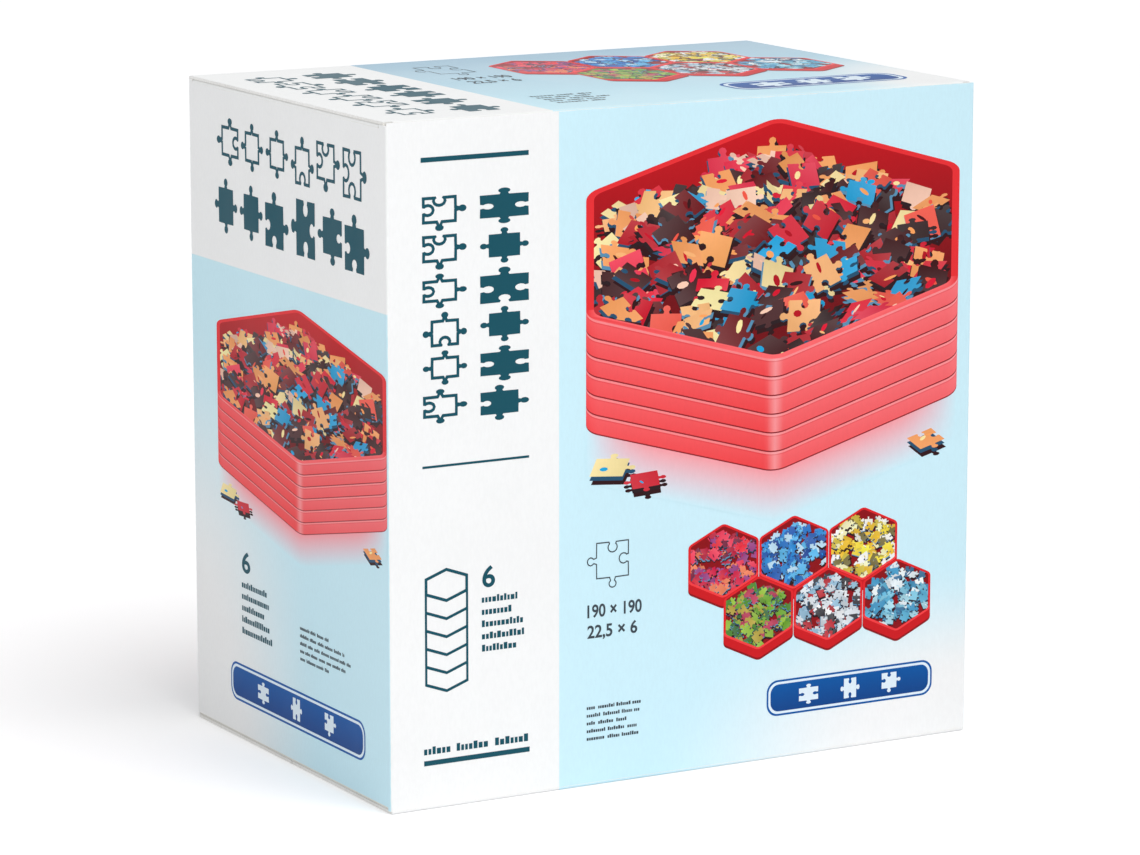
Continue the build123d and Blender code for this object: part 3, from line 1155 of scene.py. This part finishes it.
topLayout = {
    "openTitle": (motifRow, (10.0, 16.0, 25.5, 120.5), dict(seed=23, stroke=1.0)),
    "solidTitle": (motifRow, (30.0, 14.5, 46.0, 122.5), dict(seed=25)),
    "pieceSign": (pieceSign, (65.0, 16.5, 81.0, 41.0), dict(stroke=0.4)),
    "across": (plainNumber, (66.0, 46.5, 85.0, 52.5), dict(text="190 \u00d7 190", paint=slate)),
    "deep": (plainNumber, (66.0, 56.0, 83.0, 63.0), dict(text="22,5 \u00d7 6", paint=slate)),
    "finePrint": (finePrint, (65.0, 97.8, 89.0), dict(pitch=4.0, height=1.8, seed=80)),
    "label": (plainLabel, (128.0, 97.5, 189.0, 116.0), {}),
}
pictures = {
    "front": ((stackInk, (65.0, 7.0, 195.0, 128.0)), (dishInk, (100.0, 127.5, 186.5, 170.5))),
    "side": ((stackInk, (18.0, 62.0, 131.0, 139.0)),),
    "top": ((dishInk, (91.0, 15.0, 189.0, 86.0)),),
}


def layFace(layout, placed):
    shapes = []
    for makeMotif, place, values in layout.values():
        shapes += makeMotif(place, **values)
    art = layInk(shapes)
    for picture, place in placed:
        art += stamp(picture, place)
    return art


frontArt = layFace(frontLayout, pictures["front"])
sideArt = layFace(sideLayout, pictures["side"])
topArt = layFace(topLayout, pictures["top"])
print("faces laid out")


def printOn(face, art, origin, across, down, body):
    # Lays the ink of one face in its plane, facing out
    origin, across, down = Vector(origin) * mm, Vector(across) * mm, Vector(down) * mm
    spots, patches, colours = [], [], []
    for outline, paints in art:
        patches.append(range(len(spots) + len(outline) - 1, len(spots) - 1, -1))
        spots.extend(origin + across * u + down * v for u, v in outline)
        for paint in paints[::-1]:
            colours.extend(paint)
    mesh = bpy.data.meshes.new(face + "_print")
    mesh.from_pydata(spots, [], [list(p) for p in patches])
    laid = mesh.color_attributes.new("ink", "FLOAT_COLOR", "CORNER")
    laid.data.foreach_set("color", colours)
    # Neighbouring patches share their corners, so that the sheet is one skin
    shape = bmesh.new()
    shape.from_mesh(mesh)
    bmesh.ops.remove_doubles(shape, verts=shape.verts, dist=laying["weld"] * mm)
    shape.to_mesh(mesh)
    shape.free()
    print(mesh.name, "has", len(mesh.polygons), "patches and", len(mesh.vertices), "corners")
    mesh.materials.append(materials[face + " ink"])
    sheet = addObject(face + "_print", mesh)
    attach(sheet, body)


printOn("front", frontArt, (-halfWidth, -halfDepth, cartonTop), (1, 0, 0), (0, 0, -1), "carton")
printOn("back", frontArt, (halfWidth, halfDepth, cartonTop), (-1, 0, 0), (0, 0, -1), "carton")
printOn("left", sideArt, (-halfWidth, halfDepth, cartonTop), (0, -1, 0), (0, 0, -1), "carton")
printOn("right", sideArt, (halfWidth, -halfDepth, cartonTop), (0, 1, 0), (0, 0, -1), "carton")
printOn("top", topArt, (-halfWidth, halfDepth, cartonTop), (1, 0, 0), (0, -1, 0), "lid")
print("print laid on five faces")

# Camera, as the photograph was taken
view = {
    "place": (-0.7125, -1.2588, 0.3728),
    "tiltDown": 10.91,    # degrees
    "turn": -29.40,
    "settings": {"lens": 151.0, "sensor_width": 36.0, "clip_start": 0.05, "clip_end": 100.0},
}
cameraData = bpy.data.cameras.new("camera")
for name, value in view["settings"].items():
    setattr(cameraData, name, value)
camera = addObject("camera", cameraData)
camera.location = view["place"]
camera.rotation_euler = (math.radians(90 - view["tiltDown"]), 0, math.radians(view["turn"]))
scene.camera = camera

# Studio: a floor that is white to the camera and keeps the carton's soft shadow, a pale
# sky, a wide soft sun and a small lamp near the left face
studio = {
    "floorSize": 30.0,
    "floorColour": ink(246, 246, 247),
    "floorLift": 0.22,
    "skyLight": 0.42,
    "sunToward": (0.18, -0.50, 0.95),
    "sunStrength": 1.64,
    "sunSpread": 42.0,    # degrees
    "lampPlace": (-0.75, -0.62, 0.50),
    "lampAim": (-0.1, 0.0, 0.1),
    "lampSize": 0.45,
    "lampWatts": 2.0,
}


def seenRays(tree):
    # One where the camera sees a surface, straight or in a gloss
    rays = addNode(tree, "ShaderNodeLightPath").outputs
    return mathNode(tree, "MAXIMUM", rays["Is Camera Ray"], rays["Is Glossy Ray"]), rays


floorMesh = bpy.data.meshes.new("floor")
half = studio["floorSize"] / 2
ends = [(-half, -half, 0), (half, -half, 0), (half, half, 0), (-half, half, 0)]
floorMesh.from_pydata(ends, [], [(0, 1, 2, 3)])
floor = addObject("floor", floorMesh)
material = bpy.data.materials.new("studio floor")
tree, out = startTree(material, "ShaderNodeOutputMaterial")
matt = addNode(tree, "ShaderNodeBsdfDiffuse")
matt.inputs["Color"].default_value = studio["floorColour"]
lift = addNode(tree, "ShaderNodeEmission")
seen = seenRays(tree)[0]
join(tree, mathNode(tree, "MULTIPLY", seen, studio["floorLift"]), lift.inputs["Strength"])
total = addNode(tree, "ShaderNodeAddShader")
join(tree, matt.outputs[0], total.inputs[0])
join(tree, lift.outputs[0], total.inputs[1])
join(tree, total.outputs[0], out.inputs["Surface"])
floorMesh.materials.append(material)

world = bpy.data.worlds.new("studio")
scene.world = world
tree, out = startTree(world, "ShaderNodeOutputWorld")
sky = addNode(tree, "ShaderNodeBackground")
sky.inputs["Color"].default_value = (1, 1, 1, 1)
seen, rays = seenRays(tree)
seen = mathNode(tree, "MAXIMUM", seen, rays["Is Transmission Ray"])
strength = rangeNode(tree, seen, 0.0, 1.0, studio["skyLight"], 1.0, smooth=False)
join(tree, strength, sky.inputs["Strength"])
join(tree, sky.outputs[0], out.inputs["Surface"])


def addLight(name, kind, power, toward, place=(0, 0, 0)):
    data = bpy.data.lights.new(name, kind)
    data.energy = power
    light = addObject(name, data)
    light.location = place
    light.rotation_euler = Vector(toward).to_track_quat("Z", "Y").to_euler()
    return data


sun = addLight("key light", "SUN", studio["sunStrength"], studio["sunToward"])
sun.angle = math.radians(studio["sunSpread"])
lampToward = Vector(studio["lampPlace"]) - Vector(studio["lampAim"])
lamp = addLight("near lamp", "AREA", studio["lampWatts"], lampToward, studio["lampPlace"])
lamp.shape = "DISK"
lamp.size = studio["lampSize"]
print("camera, floor and lights set")

scene.view_settings.view_transform = "Standard"
print("scene ready")
